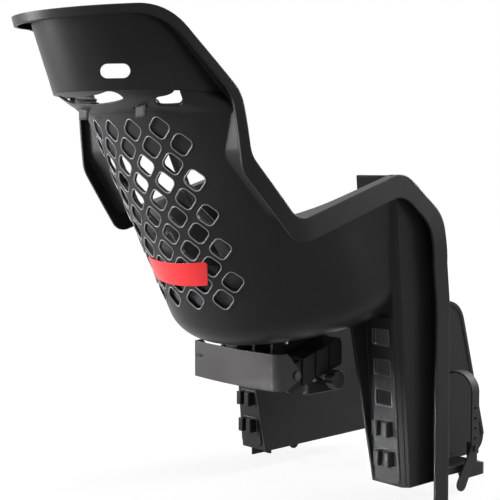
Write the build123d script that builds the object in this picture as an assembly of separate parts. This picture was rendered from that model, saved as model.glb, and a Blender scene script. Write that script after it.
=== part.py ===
"""Rear child seat for a bicycle, clamped on the luggage carrier.

X is the seat's right, Y is forward and Z is up, in millimetres. The origin is the middle of the
flat pad of the carrier mount that rests on the carrier.
"""

import os
from math import asin, cos, pi, radians, sin, tan

from build123d import *

# Moulded shell: walls and rim
wall = 4.0
hem_head = 12.0
hem_neck = 14.0
hem_depth = 30.0
rim_half_width = 206.0
rim_foot_drop = 28.0

# Seat bucket: where back and pan meet, and how they lean
hip_y = -139.0
hip_z = 54.0
back_lean = 24.3
pan_tilt = 12.0
pan_corner = 52.0
pan_half_width = 178.0
pan_nose_y = 205.0
bucket_reach = 700.0
lumbar_radius = 152.0
shoulder_radius = 255.0
shoulder_half_width = 206.0
bucket_height = 430.0

# Head cowl above the ledge
cowl_top_z = 529.0
cowl_back_y = -408.0
cowl_lean = 20.0
cowl_radius = 118.0
cowl_half_width = 128.0
cowl_flare = 30.0
cowl_steps = (-18, 27, 67, 103, 142)
soft_turn = 1.2
cowl_foot_z = 424.0
flange_width = 22.0
flange_ease = 3.0
rim_rake = 0.28
rim_steps = ((-18, 0.0), (47, 0.2), (103, 0.5), (177, 0.74), (267, 0.93), (347, 1.0))
ledge_rise = 29.0
ledge_lip = 2.0
ledge_wall = 6.0
vent_width = 132.0
vent_depth = 26.0
vent_back = 3.0
side_vent_x = 110.0
side_vent_y = -288.0
side_vent_turn = 35.0
side_vent_long = 36.0
side_vent_wide = 16.0
cowl_hole_turn = 53.0
cowl_hole_z = 446.0
cowl_hole_width = 38.0
cowl_hole_height = 18.0

# Rim seen from the side, from the head down to the foot of the leg guard
crown_y = -312.0
cheek_y = -222.0
cheek_z = 420.0
neck_y = -212.5
neck_z = 340.0
elbow_y = -143.0
elbow_z = 253.0
knee_y = 76.0
knee_z = 318.0
shin_y = 153.0
shin_z = 254.0
calf_y = 169.0
calf_z = 115.0
foot_rim_y = 172.0
crown_tilt = 4.4
crown_bend = 75.0
cheek_bend = 50.0
neck_bend = 40.0
elbow_bend = 28.0
knee_bend = 42.0
shin_bend = 55.0
calf_bend = 260.0

# Leg guards
leg_outer = 187.0
leg_inner = 119.5
leg_foot_z = -153.0
leg_back_y = 95.0
leg_lean = 5.0
leg_corner = 9.0
guard_reach_y = 376.0
guard_foot_rise = 2.0
guard_nose_bend = 30.0
guard_root = 40.0
guard_toe_bend = 28.0
guard_brow_y = 302.0
guard_brow_z = 101.0
guard_brow_bend = 45.0
bead_width = 7.0
bead_wheel_side = 4.0
bead_leg_side = 1.0
hole_x = 153.0
hole_width = 30.0
hole_height = 23.0
hole_pitch = 46.0
hole_count = 5
first_hole_z = -111.0
panel_width = 48.0
panel_top_z = 100.0
panel_margin = 6.0
panel_round = 8.0
panel_rise = 2.0

# Lattice of the back: a rhombic grid of rounded windows
window = 27.5
window_round = 7.5
window_draft = 9.0
window_over = 6.0
lattice_half_pitch = 23.7
lattice_row_pitch = 26.0
lattice_rows = 11
lattice_top_z = 373.7
blind_rows = 2
blind_floor = 1.5

# Badge on the back
badge_z = 173.0
badge_width = 135.0
badge_height = 36.0
badge_slant = 12.0
badge_round = 4.0
badge_gap = 0.35
badge_thick = 1.2

# Seat cushion
soft_gap = 0.4
pad_thick = 14.0
pad_width = 200.0
pad_front_y = 165.0
pad_top_z = 185.0

# Carrier mount: slab, deck, cheeks and the flange under the pan
slab_half = 46.0
slab_rear_y = -45.0
slab_front_y = 65.0
slab_high = 18.0
deck_tilt = 16.0
deck_rear_y = -25.0
deck_thick = 4.0
cheek_rear_y = -59.0
cheek_front_y = 54.0
cheek_top_z = 35.0
cheek_high = 40.0
cheek_thick = 6.0
cheek_round = 6.0
cheek_outer = 92.5
rib_gap = 5.0
rib_count = 3
flange_thick = 4.0
flange_half = 70.0
flange_rear_u = 95.0
flange_front_u = 205.0
web_x = 40.0
web_thick = 5.0

# Clamp: rods, spindle, jaws and knob
rail_half = 72.0
rail_radius = 5.0
jaw_wall = 6.0
jaw_lip = 4.0
jaw_round = 3.0
jaw_inner = 56.0
jaw_head = 72.0
jaw_top = 7.0
jaw_head_top = 16.0
jaw_over = 20.0
rod_rear_y = 2.0
rod_front_y = 52.0
rod_radius = 3.5
rod_play = 0.3
rod_half = 86.0
spindle_y = 27.0
screw_axis_z = 9.0
spindle_radius = 4.0
spindle_play = 0.35
spindle_left = 86.0
spindle_right = 104.0
knob_radius = 14.0
knob_long = 16.0
knob_scallops = 8
knob_scallop = 4.0

# Screws and nuts that hold the mount under the pan
screw_rear_u = 110.0
screw_front_u = 190.0
screw_x = 58.0
screw_radius = 3.0
screw_play = 0.4
screw_long = 14.0
screw_head_radius = 5.5
screw_head_height = 3.0
nut_radius = 5.8
nut_high = 5.0

# Release lever at the rear of the mount
handle_half = 97.0
handle_rear_y = -90.0
handle_bow = 7.0
handle_low_z = 2.0
handle_high = 54.0
handle_thick = 4.0
handle_corner = 14.0
wing_front_y = -38.0
wing_shoulder_y = -64.0
wing_round = 7.0
pivot_y = -45.0
pivot_z = 22.0
pin_radius = 4.0
pin_play = 0.3
pin_head = 6.5
pin_head_thick = 2.0

# Footrests
rest_inner = 128.0
rest_outer = 181.0
plate_outer = 172.0
plate_thick = 5.0
peg_gap = 0.5
peg_reach = 16.0
rest_low_z = -150.0
rest_high_z = -45.0
sole_z = -138.0
sole_drop = 5.0
sole_thick = 12.0
nose_back = 30.0
nose_drop = 7.0
nose_chin = 8.0
skirt_inner = 170.0
skirt_rear_y = 235.0
skirt_low_z = -166.0
toe_y = 302.0
toe_round = 16.0
heel_cut = 14.0
ear_thick = 3.5
ear_outer = 186.0
ear_top = -108.0
stud_z = -118.0
stud_radius = 3.0
stud_cap = 2.0
stud_cap_radius = 5.0

# Foot straps
strap_y = 258.0
strap_gap = 0.3
foot_strap_thick = 2.5
foot_strap_width = 18.0
arch_top = 0.0
tab_back = 32.0
tab_low_z = -170.0
tab_radius = 11.0
strap_holes = 4
strap_hole_pitch = 16.0
strap_hole_radius = 2.0

# Harness: webbing, sleeves, tongues and buckle
strap_x = 66.0
strap_width = 22.0
strap_thick = 2.0
strap_lift = 12.0
strap_slot_back = 7.0
strap_slot = 6.0
slot_play = 2.0
strap_step_high = 275.0
strap_step_low = 245.0
strap_tail = 25.0
strap_bend = 6.0
strap_depth_high = 21.0
strap_depth_low = 44.0
sleeve_start = 0.1
sleeve_end = 0.42
sleeve_thick = 12.0
sleeve_width = 40.0
tongue_u = 122.0
tongue_thick = 2.4
tongue_margin = 3.0
tongue_lip = 4.0
blade_play = 0.5
blade_inner = 8.0
blade_outer = 28.0
blade_end_u = 186.0
buckle_u = 193.0
buckle_long = 56.0
buckle_width = 68.0
buckle_high = 16.0
buckle_round = 4.0
button_u = 204.0
button_size = 23.0
button_play = 0.5
button_pocket = 5.5
button_high = 4.5
button_travel = 2.0
crotch_u = 243.0
crotch_slot = 7.0
crotch_drop = 8.0
tongue_n = wall + 2 * soft_gap + pad_thick + buckle_high / 2
strap_loop = tongue_thick / 2 + strap_gap + strap_thick / 2


def spine_y(z):
    """Back surface of the bucket on the middle plane, at height z."""
    return hip_y - (z - hip_z) * tan(radians(back_lean))


ledge_low_z = cowl_foot_z - ledge_rise
ledge_y = spine_y(ledge_low_z)
cowl_foot_y = cowl_back_y + (cowl_top_z - cowl_foot_z) * tan(radians(cowl_lean))
vent_y = (ledge_y + cowl_foot_y) / 2 - vent_back


def ledge_z(y):
    """Underside of the ledge between the back and the cowl."""
    return cowl_foot_z - (y - cowl_foot_y) * ledge_rise / (ledge_y - cowl_foot_y)


def d_section(plane, back_y, mid_radius, side_radius, half_width, inset, reach):
    """Plan section: a round back that turns into two straight sides and a plain front."""
    a1 = asin((half_width - side_radius) / (mid_radius - side_radius))
    corner_x = (mid_radius - side_radius) * sin(a1)
    corner_y = back_y + mid_radius - (mid_radius - side_radius) * cos(a1)
    side = side_radius - inset

    def on_corner(angle):
        return (corner_x + side * sin(angle), corner_y - side * cos(angle))

    start = on_corner(a1)
    bend = on_corner((a1 + pi / 2) / 2)
    end = on_corner(pi / 2)
    front = (end[0], reach)
    left = [(-x, y) for x, y in (start, bend, end, front)]
    outline = [
        ThreePointArc(left[0], (0, back_y + inset), start),
        ThreePointArc(start, bend, end),
        Line(end, front),
        Line(front, left[3]),
        Line(left[3], left[2]),
        ThreePointArc(left[2], left[1], left[0]),
    ]
    return plane * make_face(outline)


def bucket_plane(height):
    """Plan plane of the bucket at a height over the pan, its origin on the back's middle line."""
    lean = radians(back_lean - pan_tilt)
    tilt = radians(pan_tilt)
    forward = Vector(0, cos(tilt), sin(tilt))
    normal = Vector(0, -sin(tilt), cos(tilt))
    place = Vector(0, hip_y, hip_z) + normal * height - forward * (height * tan(lean))
    return Plane(place, x_dir=(1, 0, 0), z_dir=normal)


def over_pan(z):
    """Height over the pan of the back's middle line at z."""
    return (z - hip_z) / cos(radians(back_lean)) * cos(radians(back_lean - pan_tilt))


def back_radius(height):
    """Radius of the back's round at a height over the pan."""
    share = max(0, (height - pan_corner) / (bucket_height - pan_corner))
    return lumbar_radius + (shoulder_radius - lumbar_radius) * share


def bucket_section(plane, back_y, height, inset):
    """Plan section of the bucket for a height over the pan."""
    share = max(0, (height - pan_corner) / (bucket_height - pan_corner))
    half = pan_half_width + (shoulder_half_width - pan_half_width) * share**2
    mid = back_radius(height)
    return d_section(plane, back_y, mid, half**2 / mid, half, inset, bucket_reach)


def bucket(inset):
    """Solid that the seat bucket is cut from; inset moves every side inwards."""

    def section(height, shrink):
        return bucket_section(bucket_plane(height), 0, height, shrink)

    corner = pan_corner - inset
    turns = [radians(angle) for angle in (0, 22.5, 45, 67.5, 90)]
    foot = [section(pan_corner - corner * cos(a), inset + corner * (1 - sin(a))) for a in turns]
    rise = bucket_height - pan_corner
    back = [section(pan_corner + share * rise, inset) for share in (0, 0.25, 0.5, 0.75, 1)]
    return loft(foot) + loft(back)


def cowl_section(drop, inset):
    """Plan section of the head cowl at a drop below its top."""
    back = cowl_back_y + drop * tan(radians(cowl_lean))
    half = cowl_half_width + cowl_flare * drop / cowl_steps[-1]
    level = Plane.XY.offset(cowl_top_z - drop)
    return d_section(level, back, cowl_radius, soft_turn * half, half, inset, bucket_reach)


def cowl(inset):
    """Solid that the head cowl is cut from."""
    return loft([cowl_section(drop, inset) for drop in cowl_steps])


def ledge_funnel(inset):
    """Solid between the walls of the cowl and of the back; its own wall is the ledge."""
    depth = inset + wall / 2
    low = bucket_section(Plane.XY.offset(ledge_low_z), ledge_y, over_pan(ledge_low_z), depth)
    return loft([low, cowl_section(cowl_top_z - cowl_foot_z, depth)])


def rim_envelope(inset):
    """Solid whose sides are the outer face of the rim's turned-back hem."""
    back = cowl_back_y - flange_width
    mid = cowl_radius + flange_width
    head = cowl_half_width + flange_width - flange_ease
    faces = []
    for drop, share in rim_steps:
        half = head + (rim_half_width - head) * share
        level = Plane.XY.offset(cowl_top_z - drop)
        start = back + rim_rake * drop
        faces.append(d_section(level, start, mid, soft_turn * half, half, inset, bucket_reach))
    low = Pos(0, 0, cowl_top_z - rim_steps[-1][0]) * Box(
        2 * (rim_half_width - inset), 2 * bucket_reach, 2 * bucket_reach,
        align=(Align.CENTER, Align.CENTER, Align.MAX),
    )
    return loft(faces) + low


def side_region(depths):
    """Everything behind and below the rim, seen from the side; each straight is moved in by its depth."""
    far = bucket_reach
    corners = [
        (-far, cowl_top_z - (far + crown_y) * tan(radians(crown_tilt))),
        (crown_y, cowl_top_z),
        (cheek_y, cheek_z),
        (neck_y, neck_z),
        (elbow_y, elbow_z),
        (knee_y, knee_z),
        (shin_y, shin_z),
        (calf_y, calf_z),
        (foot_rim_y, -far),
    ]
    bends = [crown_bend, cheek_bend, neck_bend, elbow_bend, knee_bend, shin_bend, calf_bend]
    straights = []
    for start, end, depth in zip(corners, corners[1:], depths):
        along = (Vector(*end) - Vector(*start)).normalized()
        shift = Vector(along.Y, -along.X) * depth
        straights.append((Vector(*start) + shift, Vector(*end) + shift, along))
    moved = [straights[0][0]]
    for (spot, _, along), (other, _, turn) in zip(straights, straights[1:]):
        gap = other - spot
        share = (gap.X * turn.Y - gap.Y * turn.X) / (along.X * turn.Y - along.Y * turn.X)
        moved.append(spot + along * share)
    moved.append(straights[-1][1])
    points = [(corner.X, corner.Y) for corner in moved]
    rim = FilletPolyline(*points, radius=bends)
    close = Polyline(points[-1], (-far, -far), points[0])
    return make_face(rim.edges() + close.edges())


def across(sketch, half=2 * rim_half_width):
    """Side-view sketch pushed through the seat from left to right."""
    return extrude(Plane.YZ * sketch, amount=half, both=True)


def mirrored(shape):
    return shape + mirror(shape, about=Plane.YZ)


def leg_back(z):
    """Back face of the leg guards at height z."""
    return leg_back_y - (z - leg_foot_z) * tan(radians(leg_lean))


def pan_bottom(y):
    """Underside of the seat pan at y."""
    return hip_z + (y - hip_y) * tan(radians(pan_tilt))


def lean_prism(sketch, low, high):
    """Plan sketch, drawn at the foot of the leg guards, drawn out along their lean."""
    direction = Vector(0, -tan(radians(leg_lean)), 1)
    shift = Vector(0, (leg_foot_z - low) * tan(radians(leg_lean)), low)
    return extrude(Pos(*shift) * sketch, amount=(high - low) * direction.length, dir=direction)


def plan_box(x0, x1, y0, y1):
    return Pos((x0 + x1) / 2, (y0 + y1) / 2) * Rectangle(x1 - x0, y1 - y0)


def guard_profile():
    """Wheel side of a leg guard seen from the side."""
    corners = [
        (leg_back_y, leg_foot_z),
        (guard_reach_y, leg_foot_z + guard_foot_rise),
        (guard_brow_y, guard_brow_z),
        (pan_nose_y, pan_bottom(pan_nose_y)),
        (leg_back(0) - guard_root, pan_bottom(leg_back(0) - guard_root)),
    ]
    line = FilletPolyline(*corners, radius=[guard_toe_bend, guard_brow_bend, guard_nose_bend])
    close = Line(corners[-1], corners[0])
    return make_face(line.edges() + [close])


def lattice_tools():
    """Cutters for the windows of the back; the top rows stay blind."""
    blank = Rot(0, 0, 45) * RectangleRounded(window, window, window_round)
    blank = Pos(0, 0, window_over) * blank
    through = extrude(blank, amount=-(window_over + 4 * wall), taper=window_draft)
    blind = extrude(blank, amount=-(window_over + wall - blind_floor), taper=window_draft)
    climb = Vector(0, -sin(radians(back_lean)), cos(radians(back_lean)))
    tools = []
    for row in range(lattice_rows):
        z = lattice_top_z - row * lattice_row_pitch * cos(radians(back_lean))
        height = over_pan(z)
        plane = bucket_plane(height)
        radius = back_radius(height)
        steps = (-3, -1, 1, 3) if row % 2 == 0 else (-4, -2, 0, 2, 4)
        for step in steps:
            angle = step * lattice_half_pitch / radius
            lateral = plane.x_dir * cos(angle) + plane.y_dir * sin(angle)
            spot = plane.origin + plane.x_dir * (radius * sin(angle))
            spot = spot + plane.y_dir * (radius * (1 - cos(angle)))
            face = Plane(spot, x_dir=lateral, z_dir=lateral.cross(climb))
            tools.append(face * (blind if row < blind_rows else through))
    return tools


def pan_yz(u, n):
    """Side-view point at a distance u along the pan from the hip and n over its underside."""
    tilt = radians(pan_tilt)
    return (hip_y + u * cos(tilt) - n * sin(tilt), hip_z + u * sin(tilt) + n * cos(tilt))


def on_pan(u, n, x=0):
    """Frame on the pan: X across the seat, Y along the pan, Z away from it."""
    y, z = pan_yz(u, n)
    return Plane((x, y, z), x_dir=(1, 0, 0), z_dir=bucket_plane(0).z_dir)


def slab(x, y, z):
    """Block that stands on its own base."""
    return Box(x, y, z, align=(Align.CENTER, Align.CENTER, Align.MIN))


def lying(y, z, x=0):
    """Frame whose Z runs across the seat, for pins and rods."""
    return Pos(x, y, z) * Rot(0, 90, 0)


def band(points, bends, thick, width):
    """Webbing that follows a side-view line, its width across the seat."""
    line = FilletPolyline(*points, radius=bends)
    return extrude(Plane.YZ * trace(line, line_width=thick), amount=width / 2, both=True)


def screw_spots():
    """Frames of the four screws that hold the mount under the pan."""
    spots = []
    for u in (screw_rear_u, screw_front_u):
        for side in (-1, 1):
            spots.append(on_pan(u, 0, side * screw_x))
    return spots


def seat_shell():
    """One moulding: bucket with lattice back, head cowl, turned-back rim and both leg guards."""
    far = bucket_reach
    region = side_region([0] * 8)
    hems = [hem_head, hem_head, hem_neck, (hem_neck + hem_depth) / 2] + [hem_depth] * 4
    foot_z = leg_foot_z - rim_foot_drop
    zone = Pos(0, (foot_z + far) / 2) * Rectangle(2 * far - 4 * hem_depth, far - foot_z)
    below = across(region & zone)
    flange_band = across((region - side_region([wall] * 8)) & zone)
    hem_band = across((region - side_region(hems)) & zone)
    upper = slab(2 * far, 2 * far, far)
    over_foot = Pos(0, 0, cowl_foot_z - ledge_lip) * upper
    over_back = Pos(0, 0, ledge_low_z + ledge_lip) * upper
    bucket_out = bucket(0)
    bucket_in = bucket(wall)
    cowl_out = cowl(0)
    rim_out = rim_envelope(0)

    tub = ((bucket_out & below) - bucket_in) - over_back
    tub = tub - lattice_tools()
    leg_high = knee_z + 4 * hem_depth
    well = plan_box(leg_inner + wall, leg_outer - wall, leg_back_y + wall, far)
    tub = tub - mirrored(lean_prism(well, foot_z, leg_high))
    nose = Pos(0, pan_nose_y, 0) * Box(
        2 * (leg_inner + wall), far, far, align=(Align.CENTER, Align.MIN, Align.CENTER))
    tub = tub - nose
    slots = [spot * Cylinder(screw_radius + screw_play, 4 * wall) for spot in screw_spots()]
    slots.append(on_pan(crotch_u, 0) * Box(strap_width + 2 * slot_play, crotch_slot, 4 * wall))
    tub = tub - slots

    hood = (cowl_out & below & over_foot) - cowl(wall)
    funnel = ledge_funnel(0)
    ledge = (funnel & below) - ledge_funnel(ledge_wall)
    openings = [Pos(0, vent_y) * SlotOverall(vent_width, vent_depth)]
    for side in (-1, 1):
        openings.append(
            Pos(side * side_vent_x, side_vent_y) * Rot(0, 0, side * side_vent_turn)
            * SlotOverall(side_vent_long, side_vent_wide))
        strap_way = Rectangle(strap_width + 2 * slot_play, strap_slot)
        openings.append(Pos(side * strap_x, ledge_y - strap_slot_back) * strap_way)
    for opening in openings:
        ledge = ledge - extrude(Pos(0, 0, cowl_foot_z) * opening, amount=2 * ledge_rise, both=True)
    for side in (-1, 1):
        toward = (side * sin(radians(cowl_hole_turn)), -cos(radians(cowl_hole_turn)), 0)
        spot = Plane((0, cowl_back_y + cowl_radius, cowl_hole_z), x_dir=(0, 0, 1), z_dir=toward)
        hole = Rot(0, 0, 90) * SlotOverall(cowl_hole_width, cowl_hole_height)
        hood = hood - spot * extrude(hole, amount=2 * cowl_radius)

    block = lean_prism(plan_box(-leg_outer, leg_outer, leg_back_y, far), foot_z, leg_high)
    core = (bucket_out - over_back) + funnel + (cowl_out & over_foot) + block
    flange = (rim_out & flange_band) - core
    hem = (rim_out & hem_band) - rim_envelope(wall)

    channel = plan_box(leg_inner, leg_outer, leg_back_y, far)
    rear = channel.vertices().group_by(Axis.Y)[0].sort_by(Axis.X)
    channel = chamfer(rear[-1], leg_corner)
    channel = channel - plan_box(leg_inner - 1, leg_outer - wall, leg_back_y + wall, far)
    channel = channel + make_face(Polyline(
        (leg_outer - leg_corner - wall, leg_back_y + wall), (leg_outer - wall, leg_back_y + wall),
        (leg_outer - wall, leg_back_y + wall + leg_corner), close=True))
    leg = (lean_prism(channel, leg_foot_z, leg_high) & below) - bucket_in
    profile = guard_profile()
    leg = leg + Pos(leg_inner, 0, 0) * extrude(Plane.YZ * profile, amount=wall)
    bead = Plane.YZ * (profile - offset(profile, amount=-bead_width))
    bead = extrude(bead, amount=bead_wheel_side + wall + bead_leg_side)
    front = Pos(0, pan_nose_y, leg_foot_z + hem_depth) * Box(
        far, far, far, align=(Align.CENTER, Align.MIN, Align.MIN))
    leg = leg + Pos(leg_inner - bead_wheel_side, 0, 0) * (bead & front)
    outward = (0, -cos(radians(leg_lean)), -sin(radians(leg_lean)))
    wall_face = Plane((hole_x, leg_back_y, leg_foot_z), x_dir=(1, 0, 0), z_dir=outward)
    panel_high = panel_top_z - leg_foot_z
    panel = RectangleRounded(panel_width, panel_high, panel_round)
    leg = leg + wall_face * extrude(Pos(0, panel_margin + panel_high / 2) * panel, amount=panel_rise)
    pegs = []
    for step in range(hole_count):
        z = first_hole_z + hole_pitch * step
        pegs.append(Pos(hole_x, leg_back(z), z) * Box(hole_width, 8 * wall, hole_height))
    leg = leg - pegs
    return tub.fuse(hood, ledge, flange, hem, leg, mirror(leg, about=Plane.YZ))


def back_badge():
    """Plain badge, bent to the back."""
    plane = bucket_plane(over_pan(badge_z))
    lean = radians(back_lean)
    face = Plane(plane.origin, x_dir=(1, 0, 0), z_dir=(0, -cos(lean), -sin(lean)))
    half = badge_width / 2
    rise = badge_height / 2
    outline = make_face(Polyline(
        (-half, -rise), (half - badge_slant, -rise), (half, rise), (-half, rise), close=True))
    outline = fillet(outline.vertices(), badge_round)
    block = face * extrude(outline, amount=lumbar_radius / 2, both=True)
    return (bucket(-badge_gap - badge_thick) - bucket(-badge_gap)) & block


def seat_pad():
    """Cushion on the pan that turns up over the foot of the back."""
    gap = soft_gap
    block = Pos(0, pad_front_y, 0) * Box(
        pad_width, bucket_reach, 2 * pad_top_z, align=(Align.CENTER, Align.MAX, Align.CENTER))
    pad = (bucket(wall + gap) & block) - bucket(wall + gap + pad_thick)
    for spot in screw_spots():
        pad = pad - spot * Cylinder(screw_head_radius + slot_play, 2 * (wall + screw_head_height + slot_play))
    return pad - on_pan(crotch_u, 0) * Box(
        strap_width + 2 * slot_play, crotch_slot, 4 * (wall + pad_thick))


def mount_base():
    """Moulded carrier mount: slab on the carrier, inclined deck with two cheeks, flange under the pan."""
    slope = tan(radians(deck_tilt))

    def deck_z(y):
        return cheek_top_z + (y - cheek_rear_y) * slope

    slab_low = slab(2 * slab_half, slab_front_y - slab_rear_y, slab_high)
    slab_low = Pos(0, (slab_rear_y + slab_front_y) / 2, 0) * slab_low
    rear = cheek_rear_y
    front = cheek_front_y
    cheek = make_face(Polyline(
        (rear, deck_z(rear) - cheek_high), (front, deck_z(front) - cheek_high),
        (front, deck_z(front)), (rear, deck_z(rear)), close=True))
    cheek = fillet(cheek.vertices(), cheek_round)
    cheek = extrude(Plane.YZ * cheek, amount=cheek_thick)
    groove = Pos(cheek_thick, 0, 0) * Box(cheek_thick, rib_gap, bucket_reach)
    span = (front - rear) / (rib_count + 1)
    for step in range(rib_count):
        y = rear + span * (step + 1)
        cheek = cheek - Pos(0, y, 0) * groove
    cheek = Pos(cheek_outer - cheek_thick, 0, 0) * cheek
    deck = make_face(Polyline(
        (deck_rear_y, deck_z(deck_rear_y) - deck_thick), (front, deck_z(front) - deck_thick),
        (front, deck_z(front)), (deck_rear_y, deck_z(deck_rear_y)), close=True))
    deck = extrude(Plane.YZ * deck, amount=cheek_outer - cheek_thick / 2, both=True)
    flange = across(make_face(Polyline(
        pan_yz(flange_rear_u, -flange_thick), pan_yz(flange_front_u, -flange_thick),
        pan_yz(flange_front_u, 0), pan_yz(flange_rear_u, 0), close=True)), flange_half)
    web = make_face(Polyline(
        (slab_rear_y, slab_high / 2), (slab_front_y, slab_high / 2),
        pan_yz(flange_front_u - web_thick, -flange_thick / 2),
        pan_yz(flange_rear_u + web_thick, -flange_thick / 2), close=True))
    body = slab_low + deck + flange + mirrored(cheek)
    for x in (-web_x, 0, web_x):
        body = body + Pos(x, 0, 0) * across(web, web_thick / 2)
    holes = [spot * Cylinder(screw_radius + screw_play, 6 * flange_thick) for spot in screw_spots()]
    for y in (rod_rear_y, rod_front_y):
        holes.append(lying(y, screw_axis_z) * Cylinder(rod_radius, 4 * slab_half))
    holes.append(lying(spindle_y, screw_axis_z) * Cylinder(spindle_radius + spindle_play, 4 * slab_half))
    for side in (-1, 1):
        holes.append(lying(pivot_y, pivot_z, side * cheek_outer) * Cylinder(pin_radius, 3 * cheek_thick))
    return body - holes


def guide_rods():
    """Two steel rods pressed through the slab; the jaws slide on their ends."""
    rods = []
    for y in (rod_rear_y, rod_front_y):
        rods.append(lying(y, screw_axis_z) * Cylinder(rod_radius, 2 * rod_half))
    return Compound(rods)


def clamp_jaw():
    """Right jaw: it hooks round the outside of the carrier's right rail."""
    mid_y = (rod_rear_y + rod_front_y) / 2
    long = rod_front_y - rod_rear_y + jaw_over
    outer = rail_half + rail_radius + jaw_wall
    low = -2 * rail_radius - jaw_lip
    hook = Pos((outer + jaw_inner) / 2, mid_y, low) * slab(outer - jaw_inner, long, jaw_top - low)
    head = Pos((jaw_inner + jaw_head) / 2, mid_y, 0) * slab(jaw_head - jaw_inner, long, jaw_head_top)
    rail = Pos(rail_half, mid_y, -rail_radius) * Rot(90, 0, 0) * Cylinder(rail_radius, 2 * long)
    inlet = Pos(rail_half, mid_y, -rail_radius) * Box(
        bucket_reach, 2 * long, 2 * rail_radius, align=(Align.MAX, Align.CENTER, Align.CENTER))
    under = Pos(rail_half, mid_y, -2 * rail_radius) * Box(
        bucket_reach, 2 * long, bucket_reach, align=(Align.MAX, Align.CENTER, Align.MAX))
    hook = fillet(hook.edges().filter_by(Axis.Y).group_by(Axis.X)[-1], jaw_round)
    jaw = (hook + head) - rail - inlet - under
    bores = []
    for y in (rod_rear_y, rod_front_y):
        bores.append(lying(y, screw_axis_z) * Cylinder(rod_radius + rod_play, bucket_reach))
    bores.append(lying(spindle_y, screw_axis_z) * Cylinder(spindle_radius + spindle_play, bucket_reach))
    return jaw - bores


def clamp_screw():
    """Spindle that draws the jaws together."""
    middle = (spindle_right - spindle_left) / 2
    return lying(spindle_y, screw_axis_z, middle) * Cylinder(spindle_radius, spindle_right + spindle_left)


def clamp_knob():
    """Hand knob on the spindle's right end, with finger scallops."""
    knob = Cylinder(knob_radius, knob_long)
    knob = fillet(knob.edges(), 2)
    scallops = []
    for step in range(knob_scallops):
        turn = Rot(0, 0, 360 / knob_scallops * step)
        place = turn * Pos(knob_radius + knob_scallop / 2, 0, 0)
        scallops.append(place * Cylinder(knob_scallop, 2 * knob_long))
    knob = knob - scallops
    knob = knob - Pos(0, 0, -knob_long / 2) * Cylinder(spindle_radius, knob_long)
    return lying(spindle_y, screw_axis_z, spindle_right) * knob


def mount_screws():
    """Four button-head screws through the pan into the mount's flange."""
    screws = []
    for spot in screw_spots():
        shank = Pos(0, 0, -screw_long) * Cylinder(
            screw_radius, screw_long + wall, align=(Align.CENTER, Align.CENTER, Align.MIN))
        head = Pos(0, 0, wall) * Cylinder(
            screw_head_radius, screw_head_height, align=(Align.CENTER, Align.CENTER, Align.MIN))
        head = fillet(head.edges().group_by(Axis.Z)[-1], 1.2)
        socket = Pos(0, 0, wall + screw_head_height) * extrude(RegularPolygon(2.3, 6), amount=-2)
        screws.append(spot * (shank + head - socket))
    return Compound(screws)


def mount_nuts():
    """Hexagon nuts under the flange."""
    nuts = []
    for spot in screw_spots():
        nut = extrude(RegularPolygon(nut_radius, 6), amount=nut_high)
        nut = nut - Cylinder(screw_radius, 4 * nut_high)
        nuts.append(spot * Pos(0, 0, -flange_thick - nut_high) * nut)
    return Compound(nuts)


def lock_handle():
    """Release lever across the rear: a bowed band with two wings that turn on pins in the cheeks."""
    half = handle_half
    bow = handle_bow
    outline = [
        ThreePointArc((-half, handle_rear_y + bow), (0, handle_rear_y), (half, handle_rear_y + bow)),
        Line((half, handle_rear_y + bow), (half, wing_front_y)),
        Line((half, wing_front_y), (-half, wing_front_y)),
        Line((-half, wing_front_y), (-half, handle_rear_y + bow)),
    ]
    plan = make_face(outline)
    plan = fillet(plan.vertices().group_by(Axis.Y)[0], handle_corner)
    hollow = offset(plan, amount=-handle_thick)
    inner = half - handle_thick
    hollow = hollow + plan_box(-inner, inner, handle_rear_y + bow + handle_corner, 0)
    ring = extrude(Pos(0, 0, handle_low_z) * (plan - hollow), amount=handle_high)
    low = handle_low_z
    high = handle_low_z + handle_high
    side = make_face(Polyline(
        (handle_rear_y - bow, low), (wing_shoulder_y, low), (wing_front_y, pivot_z - wing_round),
        (wing_front_y, pivot_z + wing_round), (wing_shoulder_y, high), (handle_rear_y - bow, high),
        close=True))
    ring = ring & across(side)
    return ring - lying(pivot_y, pivot_z) * Cylinder(pin_radius + pin_play, 4 * handle_half)


def handle_pins():
    """Two headed pins that carry the lever."""
    outer = handle_half + pin_play
    pin = Cylinder(
        pin_radius, outer - cheek_outer + cheek_thick, align=(Align.CENTER, Align.CENTER, Align.MAX))
    head = Cylinder(pin_head, pin_head_thick, align=(Align.CENTER, Align.CENTER, Align.MIN))
    right = lying(pivot_y, pivot_z, outer) * (pin + head)
    return Compound([right, mirror(right, about=Plane.YZ)])


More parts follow.
